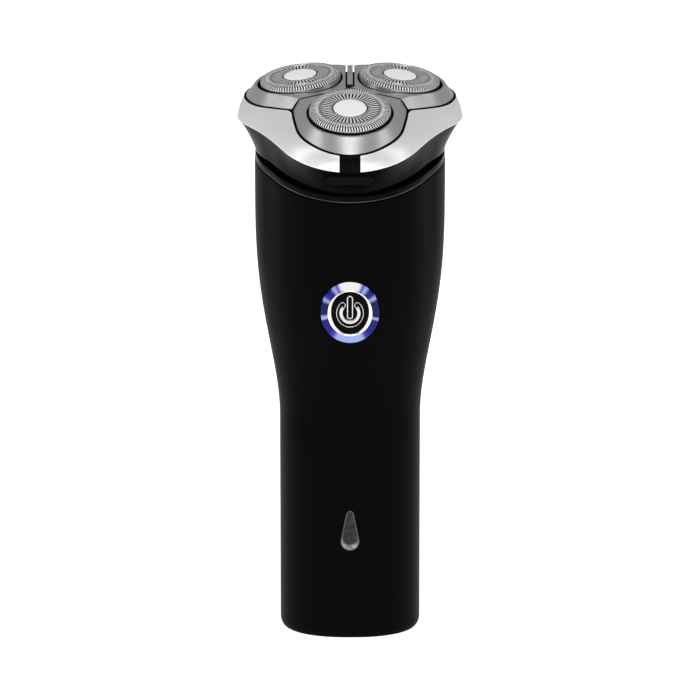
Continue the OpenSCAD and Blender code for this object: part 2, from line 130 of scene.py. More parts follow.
def body_pt(z, az, off=0.0):
    """Point of the body, with the section at z leaning forward."""
    r = body_r(z, az, off)
    t = TAU * body_u(z)
    return (r * sd(az), RIM_BACK * body_u(z) - r * cd(az) * cd(t), z - r * cd(az) * sd(t))


def ring_for(z, n=5):
    """Section whose front point is at height z, found by repeated correction."""
    if n == 0:
        return z
    q = ring_for(z, n - 1)
    return z + body_r(q, 0) * sd(TAU * body_u(q))


def front_y(z):
    return body_pt(ring_for(z), 0)[1]


def rise(az):
    """Climb of the body's top edge from front to side."""
    m = az % 360
    return 2.1 * ss((360 - m if m > 180 else m) / 80)


def shell_top(z, az):
    """z, stretched near the top so that the rim climbs from front to side."""
    return z if z < 134 else 134 + (z - 134) * (RIM_H - 1.1 + rise(az) - 134) / (RIM_H - 134)


LEAN = math.degrees(math.atan2(front_y(BUTTON_Z - 5) - front_y(BUTTON_Z + 5), 10))

HEAD = Matrix.Translation((0, RIM_BACK, RIM_H)) @ Matrix.Rotation(math.radians(TAU), 4, "X")
BUTTON = (Matrix.Translation((0, front_y(BUTTON_Z), BUTTON_Z))
          @ Matrix.Rotation(math.radians(90 + LEAN), 4, "X"))


def third(k):
    """Turn to cutting unit k."""
    return Matrix.Rotation(math.radians(120 * k), 4, "Z")


def unit_frame(k):
    """Frame of cutting unit k, with z = 0 in the face of its guard."""
    return (HEAD @ third(k) @ Matrix.Translation((0, -UNIT_R, GUARD_H + PROUD))
            @ Matrix.Rotation(math.radians(UNIT_TILT), 4, "X"))


# ---------- mesh helpers ----------
def make(name, verts, faces, body, mats, frame_matrix=None, smooth=35, cad=(), slot=None,
         mat_of=None):
    """Object from millimetre points, placed in the row frame and tied to its CAD body."""
    m = frame_matrix or Matrix.Identity(4)
    pts = [(m @ Vector(v)) * MM for v in verts]
    me = bpy.data.meshes.new(name)
    me.from_pydata(pts, [], faces)
    me.validate()
    ob = bpy.data.objects.new(name, me)
    bpy.context.scene.collection.objects.link(ob)
    for mt in mats if isinstance(mats, (list, tuple)) else [mats]:
        me.materials.append(mt)
    if mat_of:
        for p in me.polygons:
            p.material_index = mat_of(p)
    bm = bmesh.new()
    bm.from_mesh(me)
    bmesh.ops.remove_doubles(bm, verts=bm.verts, dist=1e-7)
    bmesh.ops.recalc_face_normals(bm, faces=bm.faces)
    bm.to_mesh(me)
    bm.free()
    soften(ob, smooth)
    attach(ob, body)
    if cad:
        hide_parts(*([cad] if isinstance(cad, str) else cad))
    return ob


def soften(ob, angle):
    """Smooth shading with edges sharper than the angle kept crisp."""
    me = ob.data
    for p in me.polygons:
        p.use_smooth = True
    bm = bmesh.new()
    bm.from_mesh(me)
    lim = math.radians(angle)
    for e in bm.edges:
        e.smooth = not (len(e.link_faces) == 2 and e.calc_face_angle(0) > lim)
    bm.to_mesh(me)
    bm.free()


def ring_faces(n, m, wrap_rings=False, close=True, skip=None):
    """Quads between n rings of m points."""
    out = []
    for i in range(n if wrap_rings else n - 1):
        for j in range(m if close else m - 1):
            if skip and skip(i, j):
                continue
            a, b = i * m, ((i + 1) % n) * m
            k = (j + 1) % m
            out.append((a + j, a + k, b + k, b + j))
    return out


def revolve(name, prof, body, mats, fm, seg=160, closed=False, oval=1.0, **kw):
    """Turned piece: prof is (r, z) points, bottom to top. Ends on the axis are closed by poles."""
    verts, m = [], seg
    for q in prof:
        r, z, o = max(q[0], 1e-4), q[1], q[2] if len(q) > 2 else oval
        for j in range(m):
            a = 2 * math.pi * j / m
            verts.append((r * math.cos(a), r * math.sin(a) * o, z))
    faces = ring_faces(len(prof), m, wrap_rings=closed)
    if not closed:
        faces.append(tuple(range(m - 1, -1, -1)))
        faces.append(tuple(range((len(prof) - 1) * m, len(prof) * m)))
    return make(name, verts, faces, body, mats, fm, **kw)


def rounded(points, radius=0.2, steps=4):
    """Open or closed (r, z) path with its corners rounded off."""
    out = [points[0]]
    for i in range(1, len(points) - 1):
        p, a, b = Vector(points[i]), Vector(points[i - 1]), Vector(points[i + 1])
        la, lb = (a - p).length, (b - p).length
        d = min(radius, la * 0.45, lb * 0.45)
        s, e = p + (a - p) * d / la, p + (b - p) * d / lb
        for t in range(steps + 1):
            u = t / steps
            out.append(tuple(s * (1 - u) ** 2 + p * 2 * u * (1 - u) + e * u * u))
    out.append(points[-1])
    return out


def cut(ob, cutter, operation="DIFFERENCE"):
    """Boolean, applied; the cutter is removed."""
    md = ob.modifiers.new("cut", "BOOLEAN")
    md.operation = operation
    md.solver = "EXACT"
    md.object = cutter
    dg = bpy.context.evaluated_depsgraph_get()
    dg.update()
    me = bpy.data.meshes.new_from_object(ob.evaluated_get(dg))
    ob.modifiers.clear()
    old = ob.data
    ob.data = me
    bpy.data.meshes.remove(old)
    bpy.data.objects.remove(cutter)


def loose(name, verts, faces, fm=None):
    """Helper mesh that is used only as a cutter."""
    m = fm or Matrix.Identity(4)
    me = bpy.data.meshes.new(name)
    me.from_pydata([(m @ Vector(v)) * MM for v in verts], [], faces)
    bm = bmesh.new()
    bm.from_mesh(me)
    bmesh.ops.recalc_face_normals(bm, faces=bm.faces)
    bm.to_mesh(me)
    bm.free()
    ob = bpy.data.objects.new(name, me)
    bpy.context.scene.collection.objects.link(ob)
    return ob


def prism(name, outline, z0, z1, fm=None):
    """Cutter with the given (x, y) outline."""
    n = len(outline)
    v = [(x, y, z0) for x, y in outline] + [(x, y, z1) for x, y in outline]
    f = ring_faces(2, n) + [tuple(range(n - 1, -1, -1)), tuple(range(n, 2 * n))]
    return loose(name, v, f, fm)


def keep_normals(ob, surface, angle=35):
    """Faces that lie on the given smooth surface take its normals, so that a cut leaves no mark."""
    bvh, normals = surface
    me = ob.data
    soften(ob, angle)
    base = [tuple(cn.vector) for cn in me.corner_normals]
    for p in me.polygons:
        for li in p.loop_indices:
            co = me.vertices[me.loops[li].vertex_index].co
            hit, _, idx, dist = bvh.find_nearest(co)
            if hit is not None and dist < 2e-6:
                tri, vn = normals[idx]
                w = bary(hit, tri)
                nn = (vn[0] * w[0] + vn[1] * w[1] + vn[2] * w[2]).normalized()
                if nn.dot(p.normal) > 0.93:
                    base[li] = tuple(nn)
    me.normals_split_custom_set(base)


def bary(p, tri):
    """Shares of a triangle's corners at the point p."""
    a, b, c = tri
    v0, v1, v2 = b - a, c - a, p - a
    d00, d01, d11 = v0.dot(v0), v0.dot(v1), v1.dot(v1)
    d20, d21 = v2.dot(v0), v2.dot(v1)
    den = d00 * d11 - d01 * d01
    if abs(den) < 1e-30:
        return (1, 0, 0)
    v = (d11 * d20 - d01 * d21) / den
    w = (d00 * d21 - d01 * d20) / den
    return (1 - v - w, v, w)


def surface_of(ob):
    """Search tree over an object's triangles with their smooth corner normals."""
    me = ob.data
    me.calc_loop_triangles()
    cn = [Vector(c.vector) for c in me.corner_normals]
    co = [v.co.copy() for v in me.vertices]
    tris = [tuple(t.vertices) for t in me.loop_triangles]
    bvh = BVHTree.FromPolygons(co, tris)
    data = [([co[i] for i in t.vertices], [cn[i] for i in t.loops]) for t in me.loop_triangles]
    return bvh, data


# ---------- materials ----------
def material(name, base, rough, metal=0.0, spec=0.5):
    m = bpy.data.materials.new(name)
    m.use_nodes = True
    b = m.node_tree.nodes["Principled BSDF"]
    b.inputs["Base Color"].default_value = (*base, 1)
    b.inputs["Roughness"].default_value = rough
    b.inputs["Metallic"].default_value = metal
    b.inputs["Specular IOR Level"].default_value = spec
    return m


def nodes_of(m):
    t = m.node_tree
    return t, t.nodes, t.nodes["Principled BSDF"]


def grain(m, scale=(1, 1, 1), noise=400.0, bump=0.02, dist=0.0001, rough=None, tint=None):
    """Fine grain: noise in object space that moves the normal, the roughness and the tone a little."""
    t, nd, b = nodes_of(m)
    tc = nd.new("ShaderNodeTexCoord")
    mp = nd.new("ShaderNodeMapping")
    mp.inputs["Scale"].default_value = scale
    nz = nd.new("ShaderNodeTexNoise")
    nz.inputs["Scale"].default_value = noise
    nz.inputs["Detail"].default_value = 3.0
    t.links.new(tc.outputs["Object"], mp.inputs["Vector"])
    t.links.new(mp.outputs["Vector"], nz.inputs["Vector"])
    if bump:
        bp = nd.new("ShaderNodeBump")
        bp.inputs["Strength"].default_value = bump
        bp.inputs["Distance"].default_value = dist
        t.links.new(nz.outputs["Fac"], bp.inputs["Height"])
        t.links.new(bp.outputs["Normal"], b.inputs["Normal"])
    if rough:
        mr = nd.new("ShaderNodeMapRange")
        mr.inputs["To Min"].default_value = rough[0]
        mr.inputs["To Max"].default_value = rough[1]
        t.links.new(nz.outputs["Fac"], mr.inputs["Value"])
        t.links.new(mr.outputs["Result"], b.inputs["Roughness"])
    if tint:
        cr = nd.new("ShaderNodeMix")
        cr.data_type = "RGBA"
        cr.inputs[6].default_value = (*tint[0], 1)
        cr.inputs[7].default_value = (*tint[1], 1)
        t.links.new(nz.outputs["Fac"], cr.inputs[0])
        t.links.new(cr.outputs[2], b.inputs["Base Color"])
    return m


SOFT = grain(material("soft_touch", (0.0010, 0.0010, 0.0012), 0.5, spec=0.028),
             noise=2600, bump=0.06, dist=0.00005)
DARK = grain(material("dark_plastic", (0.003, 0.003, 0.0032), 0.45, spec=0.15),
             noise=2200, bump=0.08, dist=0.00005)
GLOSS = grain(material("gloss_black", (0.0014, 0.0014, 0.0015), 0.2, spec=0.035),
              noise=60, bump=0.0, rough=(0.16, 0.24))
HOUSE = grain(material("housing_black", (0.0008, 0.0008, 0.0009), 0.26, spec=0.022),
              noise=60, bump=0.0, rough=(0.24, 0.32))
TAB_FACE = grain(material("tab_black", (0.0018, 0.0018, 0.0019), 0.36, spec=0.05),
                 noise=900, bump=0.01, rough=(0.32, 0.4))
# a lighter, far shinier copy of the gloss black for a thin line at the body's rim: a painted highlight
RIM_SHEEN = grain(material("rim_highlight", (0.02, 0.02, 0.02), 0.2, spec=0.8),
             noise=60, bump=0.0, rough=(0.16, 0.24))
# near-black painted shade, put on the plates' hole walls and outer edges, the trim's lower lip and inner
# wall, and the guards' insides and slot walls
SHADE_BLACK = grain(material("painted_shade_black", (0.004, 0.004, 0.004), 0.6, spec=0.05), noise=900, bump=0.02)
TRIM = grain(material("satin_trim", (0.80, 0.80, 0.78), 0.3, metal=0.5),
             scale=(1, 1, 14), noise=1100, bump=0.012, dist=0.0001, rough=(0.26, 0.36),
             tint=((0.82, 0.82, 0.80), (0.92, 0.92, 0.90)))
PLATE = grain(material("brushed_plate", (0.5, 0.5, 0.5), 0.34, metal=1.0),
              scale=(0.6, 14, 14), noise=900, bump=0.012, dist=0.0001, rough=(0.28, 0.42),
              tint=((0.36, 0.36, 0.35), (0.80, 0.80, 0.79)))
STEEL = grain(material("guard_steel", (0.66, 0.66, 0.65), 0.27, metal=1.0),
              scale=(1, 10, 10), noise=1400, bump=0.01, dist=0.0001, rough=(0.22, 0.34),
              tint=((0.42, 0.42, 0.41), (0.62, 0.62, 0.61)))
# a brighter, partly plain white copy of the guard's steel for the slotted bands: a painted highlight on the
# bars
BAR_SHEEN = grain(material("guard_bars_painted_highlight", (0.9, 0.9, 0.89), 0.3, metal=0.4),
            noise=1400, bump=0.01, rough=(0.24, 0.34))
DISC = grain(material("disc_silver", (0.96, 0.96, 0.97), 0.5, metal=0.0),
             noise=2400, bump=0.05, dist=0.00005)
CHROME = grain(material("chrome", (0.88, 0.86, 0.79), 0.16, metal=1.0),
               noise=300, bump=0.0, rough=(0.13, 0.2))
SYMBOL = grain(material("symbol_silver", (0.6, 0.59, 0.57), 0.26, metal=1.0),
               noise=900, bump=0.01, rough=(0.22, 0.32))
PLAIN_STEEL = grain(material("steel", (0.55, 0.55, 0.56), 0.32, metal=1.0),
                    noise=900, bump=0.01, rough=(0.28, 0.4))
BRASS = grain(material("contact_metal", (0.75, 0.68, 0.5), 0.3, metal=1.0),
              noise=900, bump=0.01, rough=(0.25, 0.38))
WRAP = grain(material("battery_wrap", (0.03, 0.1, 0.28), 0.3), noise=300, bump=0.02)
BOARD = grain(material("board", (0.01, 0.09, 0.03), 0.4), noise=900, bump=0.05)
CHIP = grain(material("black_component", (0.015, 0.015, 0.015), 0.5), noise=1800, bump=0.05)
ACETAL = grain(material("gear_plastic", (0.72, 0.69, 0.6), 0.42), noise=1200, bump=0.03)
RUBBER = grain(material("rubber", (0.01, 0.01, 0.01), 0.6), noise=1600, bump=0.05)
LED = grain(material("led_chip", (0.85, 0.85, 0.75), 0.25), noise=500, bump=0.01)

BY_SLOT = {"soft_touch": SOFT, "dark_plastic": DARK, "gloss_black": GLOSS, "rubber": RUBBER,
           "satin_trim": TRIM, "brushed_plate": PLATE, "guard_steel": STEEL, "disc_silver": DISC,
           "chrome": CHROME, "led_chip": LED, "battery_wrap": WRAP, "contact_metal": BRASS,
           "board": BOARD, "black_component": CHIP,
           "steel": PLAIN_STEEL, "gear_plastic": ACETAL}


def light_material():
    """Lit ring: bright at the top, pale at the bottom, deep blue segments between."""
    m = material("blue_light", (0.002, 0.003, 0.03), 0.2, spec=0.15)
    t, nd, b = nodes_of(m)
    tc = nd.new("ShaderNodeTexCoord")
    mp = nd.new("ShaderNodeMapping")
    mp.inputs["Location"].default_value = (0, 0, -BUTTON_Z * MM)
    t.links.new(tc.outputs["Object"], mp.inputs["Vector"])
    sx = nd.new("ShaderNodeSeparateXYZ")
    t.links.new(mp.outputs["Vector"], sx.inputs["Vector"])
    at = nd.new("ShaderNodeMath")
    at.operation = "ARCTAN2"
    t.links.new(sx.outputs["X"], at.inputs[0])
    t.links.new(sx.outputs["Z"], at.inputs[1])
    mr = nd.new("ShaderNodeMapRange")
    mr.inputs["From Min"].default_value = -math.pi
    mr.inputs["From Max"].default_value = math.pi
    t.links.new(at.outputs[0], mr.inputs["Value"])
    cr = nd.new("ShaderNodeValToRGB")
    cr.color_ramp.interpolation = "LINEAR"
    # share of a turn, from the bottom, clockwise seen from the front, and its colour
    pale, white, glow = (0.42, 0.52, 1.0), (1.0, 1.0, 1.0), (0.45, 0.5, 0.95)
    blue, deep, night = (0.05, 0.06, 0.5), (0.012, 0.01, 0.22), (0.004, 0.003, 0.075)
    stops = [(0.0, pale), (0.075, pale), (0.1, blue), (0.13, deep), (0.205, deep), (0.212, glow),
             (0.228, glow), (0.24, night), (0.31, night), (0.33, glow), (0.345, blue), (0.36, deep),
             (0.39, deep), (0.41, glow), (0.43, blue), (0.45, white), (0.55, white), (0.57, blue),
             (0.59, glow), (0.61, deep), (0.64, deep), (0.66, glow), (0.68, night), (0.775, night),
             (0.783, glow), (0.79, glow), (0.8, deep), (0.88, deep), (0.91, blue), (0.93, pale),
             (1.0, pale)]
    el = cr.color_ramp.elements
    el[0].position, el[0].color = stops[0][0], (*stops[0][1], 1)
    el[1].position, el[1].color = stops[-1][0], (*stops[-1][1], 1)
    for p, c in stops[1:-1]:
        e = el.new(p)
        e.color = (*c, 1)
    t.links.new(mr.outputs["Result"], cr.inputs["Fac"])
    t.links.new(cr.outputs["Color"], b.inputs["Emission Color"])
    b.inputs["Emission Strength"].default_value = 0.85
    return m


def lens_material():
    """Clear plastic over a dark seat: dim, with a crescent of caught light round its wide end."""
    m = material("clear_lens", (0.1, 0.1, 0.1), 0.12, spec=0.12)
    t, nd, b = nodes_of(m)
    tc = nd.new("ShaderNodeTexCoord")
    sx = nd.new("ShaderNodeSeparateXYZ")
    t.links.new(tc.outputs["Object"], sx.inputs["Vector"])
    nz = nd.new("ShaderNodeTexNoise")
    nz.inputs["Scale"].default_value = 520
    nz.inputs["Detail"].default_value = 2
    t.links.new(tc.outputs["Object"], nz.inputs["Vector"])

    def step(source, low, high, out_low=0.0, out_high=1.0):
        r = nd.new("ShaderNodeMapRange")
        r.interpolation_type = "SMOOTHSTEP"
        r.inputs["From Min"].default_value = low
        r.inputs["From Max"].default_value = high
        r.inputs["To Min"].default_value = out_low
        r.inputs["To Max"].default_value = out_high
        t.links.new(source, r.inputs["Value"])
        return r.outputs["Result"]

    def math_node(op, x, y):
        q = nd.new("ShaderNodeMath")
        q.operation = op
        for k, val in enumerate((x, y)):
            if isinstance(val, (int, float)):
                q.inputs[k].default_value = val
            else:
                t.links.new(val, q.inputs[k])
        return q.outputs[0]

    up = math_node("SUBTRACT", sx.outputs["Z"], 30.9 * MM)
    away = math_node("SQRT", math_node("ADD", math_node("MULTIPLY", up, up),
                                       math_node("MULTIPLY", sx.outputs["X"], sx.outputs["X"])), 0.0)
    low_end = step(sx.outputs["Z"], 30.2 * MM, 31.8 * MM, 1.0, 0.0)
    crescent = math_node("MULTIPLY", step(away, 1.8 * MM, 2.7 * MM), low_end)
    lit = math_node("MULTIPLY", crescent, step(nz.outputs["Fac"], 0.3, 0.7, 0.12, 0.34))
    dim = step(nz.outputs["Fac"], 0.3, 0.7, 0.016, 0.036)
    mx = nd.new("ShaderNodeCombineColor")
    total = math_node("ADD", lit, dim)
    for c in ("Red", "Green", "Blue"):
        t.links.new(total, mx.inputs[c])
    t.links.new(mx.outputs["Color"], b.inputs["Base Color"])
    return m


# a lighter grey for the lens's side and rounded rim: a painted highlight round its edge
LENS_RIM_SHEEN = grain(material("lens_edge_painted_sheen", (0.08, 0.08, 0.08), 0.15, spec=0.2),
                  noise=420, bump=0.0, rough=(0.12, 0.2),
                  tint=((0.045, 0.045, 0.045), (0.12, 0.12, 0.12)))
LIGHT = light_material()
LENS = lens_material()
BY_SLOT["blue_light"] = LIGHT
BY_SLOT["clear_lens"] = LENS

slot_of = {s["node"]: s["material_slot"] for s in frame["record"]["subparts"]}
for name, ob in frame["nodes"].items():
    ob.data.materials.clear()
    ob.data.materials.append(BY_SLOT[slot_of[name]])

# ---------- body shells ----------
# heights of the shells' rings: close together at the foot and the rim
ZS = ([0, 0.12, 0.3, 0.55, 0.9, 1.4, 2.0, 3.0] + [5 + 3.4 * i for i in range(17)]
      + [62 + 1.6 * i for i in range(46)] + [135.2, 136.4, 137.4, 138.2, 138.7, 139.0])


def foot(z):
    """How far the rounded lower edge pulls in."""
    return 0.75 * (1 - ss((z / 2.0) ** 0.5)) if z < 2 else 0.0


def lip(z):
    """How far the rounded upper edge pulls in."""
    start = RIM_H - 0.55
    return 0.28 * (1 - math.sqrt(max(0.0, 1 - ((z - start) / 0.55) ** 2))) if z > start else 0.0


def shell(name, a0, a1, cad):
    """Body shell from the angle a0 to a1, with its inner face."""
    m = 120
    around = [mix(a0, a1, j / m) for j in range(m + 1)]
    verts, rows = [], []
    for z in ZS:
        rows.append([body_pt(shell_top(z, a), a, foot(z) + lip(z)) for a in around])
    inner = [[body_pt(shell_top(z, a), a, WALL) for a in around]
             for z in (139.0, 120, 100, 80, 60, 30, 0)]
    rings = rows + inner
    for r in rings:
        verts += r
    n, w = len(rings), m + 1
    faces = ring_faces(n, w, wrap_rings=True, close=False)
    # side walls along the parting line
    for side in (0, m):
        loop = [i * w + side for i in range(n)]
        faces.append(tuple(loop if side else reversed(loop)))
    return make(name, verts, faces, "handle", SOFT, smooth=40, cad=cad, slot="soft_touch")


shell("body_rear", 90, 270, "rear_shell")
front = shell("body_front", -90, 90, "front_shell")
surf = surface_of(front)
BUTTON_R = 8.52  # half width of the opening for the button
ring_out = [(BUTTON_R * cd(a), BUTTON_R * OVAL * sd(a)) for a in range(0, 360, 2)]
cut(front, prism("cut_button", ring_out, -12, 6, BUTTON))


def drop_outline(grow, n=28):
    """The lens's drop shape as (x, z): a wide lower end and a narrow tip."""
    # radii of the wide end and of the tip, heights of their centres
    r0, r1, z0, z1 = 2.8 + grow, 1.15 + grow, 29.7, 37.95
    s = math.degrees(math.acos((r0 - r1) / (z1 - z0)))
    pts = []
    for i in range(n + 1):
        a = mix(-s, s, i / n)
        pts.append((r1 * sd(a), z1 + r1 * cd(a)))
    for i in range(2 * n + 1):
        a = mix(s, 360 - s, i / (2 * n))
        pts.append((r0 * sd(a), z0 + r0 * cd(a)))
    return pts


def drop_prism(name, grow, y0, y1):
    """Cutter with the lens's outline."""
    o = drop_outline(grow)
    n = len(o)
    v = [(x, y0, z) for x, z in o] + [(x, y1, z) for x, z in o]
    f = ring_faces(2, n) + [tuple(range(n)), tuple(range(2 * n - 1, n - 1, -1))]
    return loose(name, v, f)


cut(front, drop_prism("cut_drop", 0.03, -24, -12))
keep_normals(front, surf)

# ---------- drop lens ----------
yl = front_y(33)
rings = []
for off, out in ((0, -2.2), (0, -0.12), (0.05, 0.0), (0.16, 0.1), (0.36, 0.2), (0.8, 0.28)):
    rings += [(x, yl - out, z) for x, z in drop_outline(-off)]
n = len(drop_outline(0))
# the side and rounded rim take the lighter painted highlight, the face the lens material
make("lens_drop", rings, ring_faces(6, n) + [tuple(range(n - 1, -1, -1)), tuple(range(5 * n, 6 * n))],
     "handle", [LENS, LENS_RIM_SHEEN], smooth=50, cad="drop_lens", slot="clear_lens",
     mat_of=lambda q: 1 if q.index < 4 * n else 0)

# ---------- power button ----------
revolve("button_light",
        rounded([(8.45, -2.6), (8.45, 0.0), (8.2, 0.22), (6.9, 0.25), (6.6, 0.1), (6.6, -2.6)], 0.12),
        "handle", LIGHT, BUTTON, oval=OVAL, closed=True, cad="light_ring", slot="blue_light", smooth=50)
revolve("button_bezel",
        [(6.52, -3, OVAL), (6.52, 0.32, OVAL), (6.48, 0.46, OVAL), (6.36, 0.57, OVAL), (6.2, 0.62, 1.095),
         (6.08, 0.6, 1.1), (5.98, 0.52, 1.105), (5.3, 0.02, CAP_OVAL), (5.26, -0.06, CAP_OVAL),
         (5.25, -0.2, CAP_OVAL), (5.25, -3, CAP_OVAL)],
        "handle", CHROME, BUTTON, closed=True, cad="bezel_ring", slot="chrome", smooth=50)
revolve("button_cap",
        rounded([(0, -1.6), (5.15, -1.6), (5.15, -0.05), (4.9, 0.12), (3, 0.2), (0, 0.22)], 0.15),
        "power_button", GLOSS, BUTTON, oval=CAP_OVAL, cad="power_cap", slot="gloss_black", smooth=50)


def arc_strip(r0, r1, a0, a1, h, n=72, base=0.15):
    """Raised arc with rounded flanks and rounded ends, in the button frame. Angles from the top."""
    sec = 8
    v, f = [], []
    for i in range(n + 1):
        t = i / n
        a = mix(a0, a1, t)
        end = min(t, 1 - t) * (a1 - a0) * math.pi / 180 * (r0 + r1) / 2
        half = (r1 - r0) / 2
        s = math.sqrt(max(0.0, 1 - (1 - min(1, end / half)) ** 2)) if end < half else 1.0
        s = max(s, 0.02)
        for k in range(sec + 1):
            u = -math.cos(math.pi * k / sec)
            r = (r0 + r1) / 2 + u * half * s
            z = base + h * math.sqrt(max(0.0, 1 - u * u)) * s
            v.append((r * sd(a), r * cd(a) * OVAL, z))
    w = sec + 1
    f = ring_faces(n + 1, w, close=False)
    f.append(tuple(range(w)))
    f.append(tuple(range(n * w, n * w + w)))
    f += [(i * w, (i + 1) * w, (i + 1) * w + sec, i * w + sec) for i in range(n)]
    return v, f


def path_strip(path, half, h, base=0.15, sec=6):
    """Raised rounded line along a closed path, in the button frame."""
    v, n = [], len(path)
    for i in range(n):
        a, b = Vector(path[i - 1]), Vector(path[(i + 1) % n])
        d = (b - a).normalized()
        nx, ny = -d.y, d.x
        for k in range(sec + 1):
            u = -math.cos(math.pi * k / sec)
            v.append((path[i][0] + nx * u * half, (path[i][1] + ny * u * half) * OVAL,
                      base + h * math.sqrt(max(0, 1 - u * u))))
    w = sec + 1
    f = ring_faces(n, w, wrap_rings=True, close=False)
    f += [(i * w, ((i + 1) % n) * w, ((i + 1) % n) * w + sec, i * w + sec) for i in range(n)]
    return v, f


sym_v, sym_f = [], []


def add(vf):
    off = len(sym_v)
    sym_v.extend(vf[0])
    sym_f.extend(tuple(i + off for i in q) for q in vf[1])


# the symbol's open ring, drawn as a thin outline: its radii and half its opening, in degrees
outline = []
ro, ri, gap = 3.87, 2.25, 45
rc = (ro + ri) / 2
hr = (ro - ri) / 2
for i in range(61):
    a = mix(gap, 360 - gap, i / 60)
    outline.append((ro * sd(a), ro * cd(a)))
for i in range(1, 12):
    t = math.pi * i / 12
    a = 360 - gap
    c = Vector((rc * sd(a), rc * cd(a)))
    rad, tan = Vector((sd(a), cd(a))), Vector((cd(a), -sd(a)))
    outline.append(tuple(c + rad * hr * math.cos(t) + tan * hr * math.sin(t)))
for i in range(61):
    a = mix(360 - gap, gap, i / 60)
    outline.append((ri * sd(a), ri * cd(a)))
for i in range(1, 12):
    t = math.pi * i / 12
    a = gap
    c = Vector((rc * sd(a), rc * cd(a)))
    rad, tan = Vector((sd(a), cd(a))), Vector((-cd(a), sd(a)))
    outline.append(tuple(c - rad * hr * math.cos(t) + tan * hr * math.sin(t)))
add(path_strip(outline, 0.15, 0.26))
# the raised arc inside it
add(arc_strip(2.05, 3.1, 47, 313, 0.32))
# the upright bar
bar = []
for i in range(13):
    a = math.pi * i / 12
    bar.append((0.72 * math.cos(a), 4.0 + 0.72 * math.sin(a)))
for i in range(13):
    a = math.pi + math.pi * i / 12
    bar.append((0.72 * math.cos(a), -1.0 + 0.5 * math.sin(a)))
add(path_strip(bar, 0.22, 0.3))
make("button_symbol", sym_v, sym_f, "power_button", SYMBOL, BUTTON, smooth=60, cad="power_symbol",
     slot="chrome")

# ---------- neck and rim rings ----------
revolve("neck", rounded([(24.4, 0.0), (24.4, 4.45), (24.2, 4.6), (22.95, 4.6), (22.95, 0.0)], 0.3),
        "handle", DARK, HEAD, seg=200, closed=True, cad="neck_ring", slot="dark_plastic")
# steps round the head, and their angles
AZ = 240
azs = [360 * j / AZ for j in range(AZ)]


def polar(r, az, z):
    """Point of the head, az being 0 at the front."""
    return (r * sd(az), -r * cd(az), z)


def ring_at(fr, fz):
    """Ring round the head, with its radius and height as functions of the angle."""
    return [polar(fr(a), a, fz(a)) for a in azs]


def rim(off, dz):
    return ring_at(lambda a: 25.07 if off < 0 else lobe(a, RIM_RHO, RIM_C) - off, lambda a: dz + rise(a))


def band(name, prof, mat, **kw):
    """Band round the body's rim: prof is (how far inside it, height) points."""
    rings = [rim(o, z) for o, z in prof]
    return make(name, [q for r in rings for q in r], ring_faces(len(rings), AZ, wrap_rings=True),
                "handle", mat, HEAD, smooth=50, **kw)


band("rim_band",
     [(-1, -0.6), (0.16, -0.6), (0.16, 0.62), (0.2, 0.82), (0.32, 0.95), (0.5, 1.0), (-1, 1.0)],
     GLOSS, cad="rim_ring", slot="gloss_black")
# thin line at the rim in the lighter, shinier copy of the gloss black: a painted highlight
band("rim_line",
     [(-1, -1.03), (0.22, -1.03), (0.08, -0.95), (0.04, -0.86), (0.08, -0.76), (0.22, -0.62),
      (-1, -0.62)],
     RIM_SHEEN, slot="gloss_black")


# ---------- head housing ----------
def low_z(az):
    """Lower edge of the housing."""
    return max(1.4 + 3.5 * wave(az), 1.35 + rise(az))


def top_z(az):
    """Upper edge of the housing, just under the trim."""
    return TRIM_Z - 0.1 + TRIM_WAVE * wave(az)


def house_r(az, z):
    """Radius of the housing at height z."""
    s = max(0.0, (z - low_z(az)) / (top_z(az) - low_z(az)))
    return mix(lobe(az, 24.7, 3.3), lobe(az, TRIM_RHO - 0.35, TRIM_C), s ** 1.3)


rings = [ring_at(lambda a: house_r(a, 5.45) - 1.7, lambda a: 5.45),
         ring_at(lambda a: house_r(a, low_z(a)) - 1.7, low_z),
         ring_at(lambda a: house_r(a, low_z(a)) - 0.3, low_z)]
for s in [0.02, 0.05, 0.1] + [0.1 + 0.9 * i / 22 for i in range(1, 22)] + [0.985, 1.0]:
    e = 0.28 * (1 - min(1, s / 0.05)) ** 2 + 0.2 * max(0, (s - 0.97) / 0.03) ** 2
    rings.append(ring_at(lambda a: house_r(a, mix(low_z(a), top_z(a), s)) - e,
                         lambda a: mix(low_z(a), top_z(a), s)))
rings += [ring_at(lambda a: house_r(a, top_z(a)) - 1.6, top_z),
          ring_at(lambda a: house_r(a, 6.4) - 1.7, lambda a: 6.4)]
verts = [p for r in rings for p in r]
faces = (ring_faces(len(rings), AZ)
         + [tuple(range(AZ - 1, -1, -1)), tuple(range((len(rings) - 1) * AZ, len(rings) * AZ))])
house = make("housing", verts, faces, "handle", HOUSE, HEAD, smooth=40, cad="head_housing",
             slot="gloss_black")
hsurf = surface_of(house)


def circle(r, n=64):
    """Points round a circle."""
    return [(r * math.cos(2 * math.pi * i / n), r * math.sin(2 * math.pi * i / n)) for i in range(n)]


def along_x(x0):
    """Frame whose z runs along the head's +X from x0 on the hinge axis."""
    return HEAD @ Matrix.Translation((x0, HINGE_Y, HINGE_Z)) @ Matrix.Rotation(math.radians(90), 4, "Y")


# the release tab: radius of its round ends, half the distance between their centres
TAB_R, TAB_HALF = 1.6, 5.05


def tab_outline(grow):
    """The release tab's outline: two half circles."""
    r, h = TAB_R + grow, TAB_HALF
    pts = []
    for i in range(25):
        a = -90 + 180 * i / 24
        pts.append((h + r * cd(a), r * sd(a)))
    for i in range(25):
        a = 90 + 180 * i / 24
        pts.append((-h + r * cd(a), r * sd(a)))
    return pts


TAB = HEAD @ Matrix.Translation((0, 0, 7.25)) @ Matrix.Rotation(math.radians(90), 4, "X")
